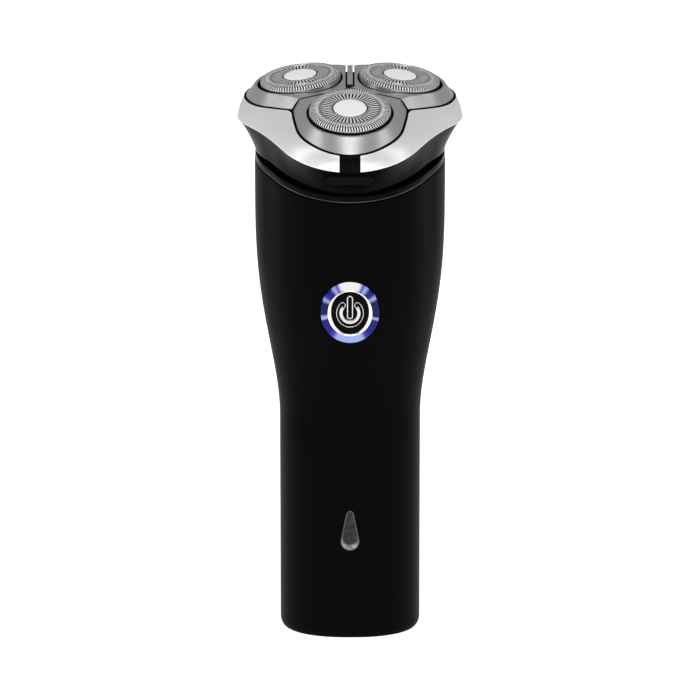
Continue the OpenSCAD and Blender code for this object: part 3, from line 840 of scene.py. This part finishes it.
# radii: the spindles' openings, the hinge knuckles, and the room cut for a knuckle
SPINDLE_HOLE, KNUCKLE_R, KNUCKLE_ROOM = 1.56, 1.45, 1.8
# the outer knuckles' distance from the middle of the hinge
KNUCKLE_X = 5


def spindle_frame(k):
    """Frame of spindle k."""
    return HEAD @ third(k) @ Matrix.Translation((0, -GEAR_R, 0))


for k in range(3):
    cut(house, prism("c", circle(SPINDLE_HOLE), 4, 9, spindle_frame(k)))
cut(house, prism("c", tab_outline(0.12), 26, 36, TAB))
for s in (-1, 1):
    cut(house, prism("c", circle(KNUCKLE_ROOM), -2.3, 2.3, along_x(KNUCKLE_X * s)))
keep_normals(house, hsurf)

for k in range(3):
    revolve(f"collar_{k + 1}",
            rounded([(3.6, 6.35), (3.6, 9.2), (3.4, 9.4), (1.7, 9.4), (SPINDLE_HOLE, 9.2),
                     (SPINDLE_HOLE, 6.35)], 0.1),
            "handle", GLOSS, spindle_frame(k), seg=64, closed=True, slot="gloss_black")
revolve("knuckle_mid",
        rounded([(KNUCKLE_R, -2.6), (KNUCKLE_R, 2.6), (0.76, 2.6), (0.76, -2.6)], 0.1),
        "handle", GLOSS, along_x(0), seg=48, closed=True, slot="gloss_black")
x, y0, y1, z0, z1 = 2.6, HINGE_Y - 1.6, HINGE_Y + 1.2, 8.6, HINGE_Z - 0.8
make("knuckle_web", [(-x, y0, z0), (x, y0, z0), (x, y1, z1), (-x, y1, z1), (-x, y0, z1), (x, y0, z1)],
     [(0, 1, 2, 3), (3, 2, 5, 4), (4, 5, 1, 0), (0, 3, 4), (1, 5, 2)], "handle", GLOSS, HEAD,
     slot="gloss_black")

o = tab_outline(0)
n = len(o)
rings = []
for off, z in ((0, 27.6), (0, 30.35), (0.08, 30.6), (0.25, 30.75), (0.6, 30.75)):
    rings += [(px * (1 - off / (TAB_R + TAB_HALF)), py * (1 - off / TAB_R), z) for px, py in o]
make("tab", rings, ring_faces(5, n) + [tuple(range(n - 1, -1, -1)), tuple(range(4 * n, 5 * n))],
     "release_button", TAB_FACE, TAB, smooth=50, cad="release_tab", slot="gloss_black")


# ---------- trim band ----------
def plate_at(a):
    """Radius of a petal plate's outline at the angle a from its outward direction."""
    return PLATE_R - 1.2 * ss(abs(a) / 50) + 2.5 * (max(0.0, abs(a) - 80) / 33) ** 2


def unit_angle(f, t):
    """The same point's angle seen from the cutting unit's centre."""
    return math.degrees(math.atan2(t * sd(f), t * cd(f) - UNIT_R))


def petal_edge(az):
    """Distance from the head's axis to the trim's inner edge, found by repeated correction."""
    f = fold(az)
    r = PLATE_R + SEAM
    for _ in range(9):
        t = UNIT_R * cd(f) + math.sqrt(r * r - (UNIT_R * sd(f)) ** 2)
        r = plate_at(unit_angle(f, t)) + SEAM
    return t


def plate_drop(a):
    """How far the plate's outer edge lies below the top of the guard."""
    return 4.8 - 0.6 * (a / 114) ** 2


def unit_z(y):
    """Height of the tilted unit's plane at the distance y."""
    return GUARD_H + (y + UNIT_R) * math.tan(math.radians(UNIT_TILT))


def edge_z(az):
    """Height of the trim's inner edge."""
    f, t = fold(az), petal_edge(az)
    return unit_z(-t * cd(f)) - plate_drop(unit_angle(f, t)) + 0.1


# section of the trim, from its lower edge to its top: part of the way out, part of the way up, extra
# height
PROF = [(1, 0, 0.0), (0.95, 0.10, 0.1), (0.68, 0.46, 0.2), (0.34, 0.76, 0.15), (0, 1, 0.0)]


def prof_at(t):
    """Catmull-Rom through the trim's section."""
    x = t * (len(PROF) - 1)
    i = min(int(x), len(PROF) - 2)
    u = x - i
    p = [PROF[max(0, i - 1)], PROF[i], PROF[i + 1], PROF[min(len(PROF) - 1, i + 2)]]
    return [0.5 * (2 * p[1][c] + (p[2][c] - p[0][c]) * u
                   + (2 * p[0][c] - 5 * p[1][c] + 4 * p[2][c] - p[3][c]) * u * u
                   + (3 * p[1][c] - p[0][c] - 3 * p[2][c] + p[3][c]) * u ** 3) for c in range(3)]


def eased(f):
    """f at each step round the head, averaged over 12 degrees, so that corners melt away."""
    return {a: sum(f(a + d) for d in (-6, -4, -2, 0, 2, 4, 6)) / 7 for a in azs}


SOFT_R, SOFT_Z = eased(petal_edge), eased(edge_z)


def trim_pt(az, q, inset=0.0):
    """Point of the trim at q of its section. Away from the plates its crease is smoothed."""
    ro, ri, ez = lobe(az, TRIM_RHO, TRIM_C), petal_edge(az), edge_z(az)
    ri += 0.7 * math.exp(-((60 - fold(az)) / 2.0) ** 2)
    away = ss(q[0] / 0.3)
    ri, ez = mix(ri, SOFT_R[az], away), mix(ez, SOFT_Z[az], away)
    z = mix(TRIM_Z + TRIM_WAVE * wave(az), ez, q[1]) + q[2]
    return polar(mix(ri, ro, q[0]) - inset, az, z)


STEPS = 28  # along the section
rings = [[trim_pt(a, (1, 0, 0), 0.2) for a in azs]]
for i in range(STEPS + 1):
    rings.append([trim_pt(a, prof_at(i / STEPS)) for a in azs])
rings.append([trim_pt(a, (0, 1, -0.12), 0.1) for a in azs])
rings.append([trim_pt(a, (0, 1, -1.5), 0.1) for a in azs])
for q0, q1, q2 in ((0.36, 0.74, -1.35), (0.72, 0.42, -1.25), (1, 0, 0)):
    rings.append(ring_at(lambda a: min(mix(petal_edge(a), lobe(a, TRIM_RHO, TRIM_C), q0),
                                       lobe(a, TRIM_RHO, TRIM_C) - 1.5),
                         lambda a: mix(TRIM_Z + TRIM_WAVE * wave(a), edge_z(a), q1) + q2))
verts = [p for r in rings for p in r]
# the lower lip and the section's first step take the near-black painted shade, a dark line at the trim's
# lower edge; the inner wall and underside take it too, darkening the seam to the plates
trim = make("trim", verts, ring_faces(len(rings), AZ, wrap_rings=True), "cover", [TRIM, SHADE_BLACK], HEAD,
            smooth=38, cad="trim_band", slot="satin_trim",
            mat_of=lambda q: 0 if 2 <= q.index // AZ < STEPS + 1 else 1)
tsurf = surface_of(trim)
insert = make("trim_insert", verts, ring_faces(len(rings), AZ, wrap_rings=True), "cover", GLOSS, HEAD,
              smooth=38, cad="trim_insert", slot="gloss_black")
cut(trim, prism("c", circle(KNUCKLE_ROOM), -2.8, 2.8, along_x(0)))
cut(trim, prism("c", [(-3, -40), (3, -40), (3, -20), (-3, -20)], 5, 25, HEAD))
cut(insert, prism("c", [(-2.95, -40), (2.95, -40), (2.95, -20), (-2.95, -20)], 5, 25, HEAD),
    "INTERSECT")
keep_normals(trim, tsurf, 38)
keep_normals(insert, tsurf, 38)
for s in (-1, 1):
    revolve(f"knuckle_{'ab'[s > 0]}",
            rounded([(KNUCKLE_R, -2), (KNUCKLE_R, 2), (0.8, 2), (0.8, -2)], 0.1),
            "cover", TRIM, along_x(KNUCKLE_X * s), seg=48, closed=True, slot="satin_trim")


# ---------- petal plates ----------
def wedge_r(a, gap):
    """Radius at which a plate meets its neighbour's border, less the gap."""
    return 99 if abs(a) <= 90 else (UNIT_R * sd(60) - gap) / max(0.01, cd(150 - abs(a)))


def plate_out(a, gap):
    """Radius of a plate's edge."""
    return min(plate_at(a), wedge_r(a, gap))


def plate_fold(a):
    """Radius where the plate leaves its flat and bends down."""
    return mix(13.4, plate_at(a) - 2.4, ss((abs(a) - 10) / 95))


def top_at(a, r):
    """Height of the plate's upper face."""
    y = -UNIT_R - r * cd(a)
    f = plate_fold(a)
    flat = min(unit_z(y) - 0.9, FLAT_Z)
    t = max(0.0, min(1.0, (r - f) / (plate_at(a) - f)))
    return mix(flat, min(flat, unit_z(y) - plate_drop(a)), t)


def corner_a(gap):
    """Angle of the plate's outer corner, found by repeated correction."""
    a = 112
    for _ in range(12):
        a = (a + 150 - math.degrees(math.acos((UNIT_R * sd(60) - gap) / plate_at(a)))) / 2
    return a


# half the gap between two plates, and the wider one on either side of the rear rib
GAP, RIB_GAP = 0.25, 1.25
# the plate's hole, and the end of the small round at its edge
HOLE_R, HOLE_EDGE = 12.5, 12.62
# rows of a plate, from its hole outwards: a number below 1 lies between the hole and the fold, one
# above 1 between the fold and the outline
ROWS = ("hole_low", "hole", "hole_edge", 0.25, 0.5, 0.75, 0.94, "fold_a", "fold_b", 1.3, 1.5, 1.7,
        1.85, "edge", "out", "out_low")


def petal(k):
    """Petal plate k, with a round hole for its guard."""
    gl = RIB_GAP if k == 1 else GAP
    gr = RIB_GAP if k == 2 else GAP
    cl, cr = corner_a(gl), corner_a(gr)
    angles = ([mix(-180, -121, j / 28) for j in range(28)] + [mix(-121, -cr, j / 16) for j in range(16)]
              + [mix(-cr, cl, j / 120) for j in range(120)] + [mix(cl, 121, j / 16) for j in range(16)]
              + [mix(121, 180, j / 28) for j in range(28)])
    m = len(angles)
    rows = []
    for kind in ROWS:
        row = []
        for a in angles:
            g = gl if a > 0 else gr
            ro = plate_out(a, g)
            f = min(plate_fold(a), ro - 0.15)
            dz = 0.0
            if kind == "hole_low":
                r, dz = HOLE_R, -0.8
            elif kind == "hole":
                r, dz = HOLE_R, -0.12
            elif kind == "hole_edge":
                r = HOLE_EDGE
            elif kind == "fold_a":
                r = f
            elif kind == "fold_b":
                r = mix(f, ro, 0.12)
                dz = -0.02
            elif kind == "edge":
                r = ro - 0.26
            elif kind == "out":
                r, dz = ro, -0.1
            elif kind == "out_low":
                r, dz = ro, -0.8
            elif kind < 1:
                r = mix(HOLE_EDGE, f, kind)
            else:
                r = mix(f, ro, kind - 1)
            row.append((r * sd(a), -UNIT_R - r * cd(a), top_at(a, min(r, ro)) + dz))
        rows.append(row)
    verts = [p for row in rows for p in row]
    # the hole's wall, the rounded outer edge and the underside take the near-black painted shade, which
    # darkens the seams between the plates
    make(f"petal_{k + 1}", verts, ring_faces(len(rows), m, wrap_rings=True), "cover", [PLATE, SHADE_BLACK],
         HEAD @ third(k), smooth=30, cad=f"petal_plate_{k + 1}", slot="brushed_plate",
         mat_of=lambda q: 0 if 1 <= q.index // m < ROWS.index("edge") else 1)


for k in range(3):
    petal(k)


# ---------- guards and discs ----------
# section of a guard: radius, height, and what is cut out up to the next point (0 nothing, 1 the inner
# slots, 2 the outer slots)
GUARD_PROF = [(5.1, 0.0, 0), (5.35, 0.0, 0), (5.5, 0.0, 1), (6.4, 0.0, 1), (7.3, 0.0, 1), (8.05, 0.0, 1),
              (8.2, 0.0, 0), (8.55, 0.0, 0), (8.62, -0.14, 0), (8.86, -0.14, 0), (8.94, 0.0, 0),
              (9.1, 0.0, 2), (9.6, 0.0, 2), (10.1, 0.0, 2), (10.6, -0.01, 2), (10.95, -0.05, 2),
              (11.25, -0.14, 2), (11.5, -0.28, 2), (11.68, -0.48, 2), (11.77, -0.7, 2),
              (GUARD_R, -0.95, 0), (GUARD_R, -1.2, 0), (GUARD_R, -4.0, 0), (12.9, -4.06, 0), (13.0, -4.2, 0),
              (13.0, -4.45, 0)]
GUARD_SEG = 360


def slot_cut(i, j):
    """Whether the face j after point i is open: 45 inner slots, 90 outer ones that widen outwards."""
    r, _, kind = GUARD_PROF[i]
    return ((kind == 1 and j % 8 in (2, 3, 4, 5)) or (kind == 2 and j % 4 == 1)
            or (kind == 2 and j % 4 == 2 and r > 10))


def guard(k):
    """Slotted cap, with its slots as real openings through a thin skin."""
    verts = []
    for r, z, _ in GUARD_PROF:
        skew = 1.6 * max(0.0, (r - 9.0) / 2.8)
        for j in range(GUARD_SEG):
            a = j * 360 / GUARD_SEG + skew
            verts.append((r * cd(a), r * sd(a), z))
    faces = ring_faces(len(GUARD_PROF), GUARD_SEG, skip=slot_cut)
    bands = [GUARD_PROF[i][2] for i in range(len(GUARD_PROF) - 1) for j in range(GUARD_SEG)
             if not slot_cut(i, j)]
    fm = unit_frame(k)
    # the slotted bands take the brighter copy of the steel: a painted highlight on the bars
    ob = make(f"guard_cap_{k + 1}", verts, faces, f"unit_{k + 1}", [STEEL, BAR_SHEEN, SHADE_BLACK], fm, smooth=30,
              cad=f"guard_{k + 1}", slot="guard_steel", mat_of=lambda q: 1 if bands[q.index] else 0)
    bm = bmesh.new()
    bm.from_mesh(ob.data)
    up = (fm.to_3x3() @ Vector((0, 0, 1)))
    c = sum((f.normal.dot(up) * f.calc_area() for f in bm.faces))
    if c < 0:
        bmesh.ops.reverse_faces(bm, faces=bm.faces)
    bm.to_mesh(ob.data)
    bm.free()
    md = ob.modifiers.new("skin", "SOLIDIFY")
    md.thickness = 0.0003
    md.offset = -1
    # the skin's inside and the slots' walls take the near-black painted shade
    md.material_offset = 2
    md.material_offset_rim = 2
    return ob


for k in range(3):
    guard(k)
    revolve(f"disc_{k + 1}",
            [(0, -0.5), (4.55, -0.5), (4.72, -0.3), (4.8, 0.0), (4.76, 0.1), (4.6, 0.18), (4, 0.24),
             (2.5, 0.31), (1.2, 0.34), (0, 0.35)],
            f"unit_{k + 1}", DISC, unit_frame(k), seg=128, cad=f"centre_disc_{k + 1}",
            slot="disc_silver", smooth=50)
    revolve(f"disc_stem_{k + 1}", [(0, -3.8), (1.2, -3.8), (1.2, -0.5), (0, -0.5)],
            f"unit_{k + 1}", DISC, unit_frame(k), seg=48, slot="disc_silver")
    # the seat, which is the guard's steel, is drawn in dark plastic: painted shade in the gap round the disc
    revolve(f"disc_seat_shade_{k + 1}", [(4.95, -0.55), (4.95, -0.12), (5.2, -0.12), (5.2, -0.55)],
            f"unit_{k + 1}", DARK, unit_frame(k), seg=128, closed=True, slot="guard_steel")


# ---------- floor, light, camera ----------
WHITE = (0.93, 0.93, 0.93)
me = bpy.data.meshes.new("studio_floor")
me.from_pydata([(-4.0, -3.0, 0.0), (4.0, -3.0, 0.0), (-4.0, 2.4, 0.0), (4.0, 2.4, 0.0)], [],
               [(0, 1, 3, 2)])
floor = bpy.data.objects.new("studio_floor", me)
bpy.context.scene.collection.objects.link(floor)
for p in me.polygons:
    p.use_smooth = True
me.materials.append(grain(material("studio_white", WHITE, 0.95, spec=0.2), noise=6, bump=0.0,
                          tint=(tuple(c * 0.99 for c in WHITE), WHITE)))
# the floor glows a little, so that it stays white behind and below the object
shader = me.materials[0].node_tree.nodes["Principled BSDF"]
shader.inputs["Emission Color"].default_value = (1, 1, 1, 1)
shader.inputs["Emission Strength"].default_value = 0.82


def area(name, loc, target, size, power):
    """Rectangular lamp that faces the target."""
    la = bpy.data.lights.new(name, "AREA")
    la.shape = "RECTANGLE"
    la.size, la.size_y = size
    la.energy = power
    ob = bpy.data.objects.new(name, la)
    bpy.context.scene.collection.objects.link(ob)
    ob.location = loc
    d = Vector(target) - Vector(loc)
    ob.rotation_euler = d.to_track_quat("-Z", "Y").to_euler()
    return ob


area("side_left", (-1.1, -0.25, 0.55), (0, 0, 0.1), (0.35, 1.1), 1.5)
area("side_right", (1.1, -0.25, 0.55), (0, 0, 0.1), (0.35, 1.1), 1.2)
area("front_high", (0, -1.25, 0.80), (0, 0, 0.16), (0.7, 0.45), 3.4)
area("over", (0, -0.35, 1.4), (0, 0, 0.1), (0.9, 0.5), 5.0)

w = bpy.data.worlds.new("studio")
bpy.context.scene.world = w
w.use_nodes = True
w.node_tree.nodes["Background"].inputs["Color"].default_value = (1, 1, 1, 1)
w.node_tree.nodes["Background"].inputs["Strength"].default_value = 0.38

cam = bpy.data.cameras.new("camera")
cam_ob = bpy.data.objects.new("camera", cam)
bpy.context.scene.collection.objects.link(cam_ob)
# the camera's height over the horizon in degrees, its distance, and the width seen there, in metres
ELEV, DIST, SEEN = 13.85, 1.3, 0.2064897
cam.sensor_width = 36
cam.lens = cam.sensor_width * DIST / SEEN
aim = Vector((0, 0, 0.08307))
cam_ob.location = aim + Vector((0, -DIST * cd(ELEV), DIST * sd(ELEV)))
cam_ob.rotation_euler = (aim - cam_ob.location).to_track_quat("-Z", "Y").to_euler()
bpy.context.scene.camera = cam_ob
bpy.context.scene.view_settings.view_transform = "Standard"
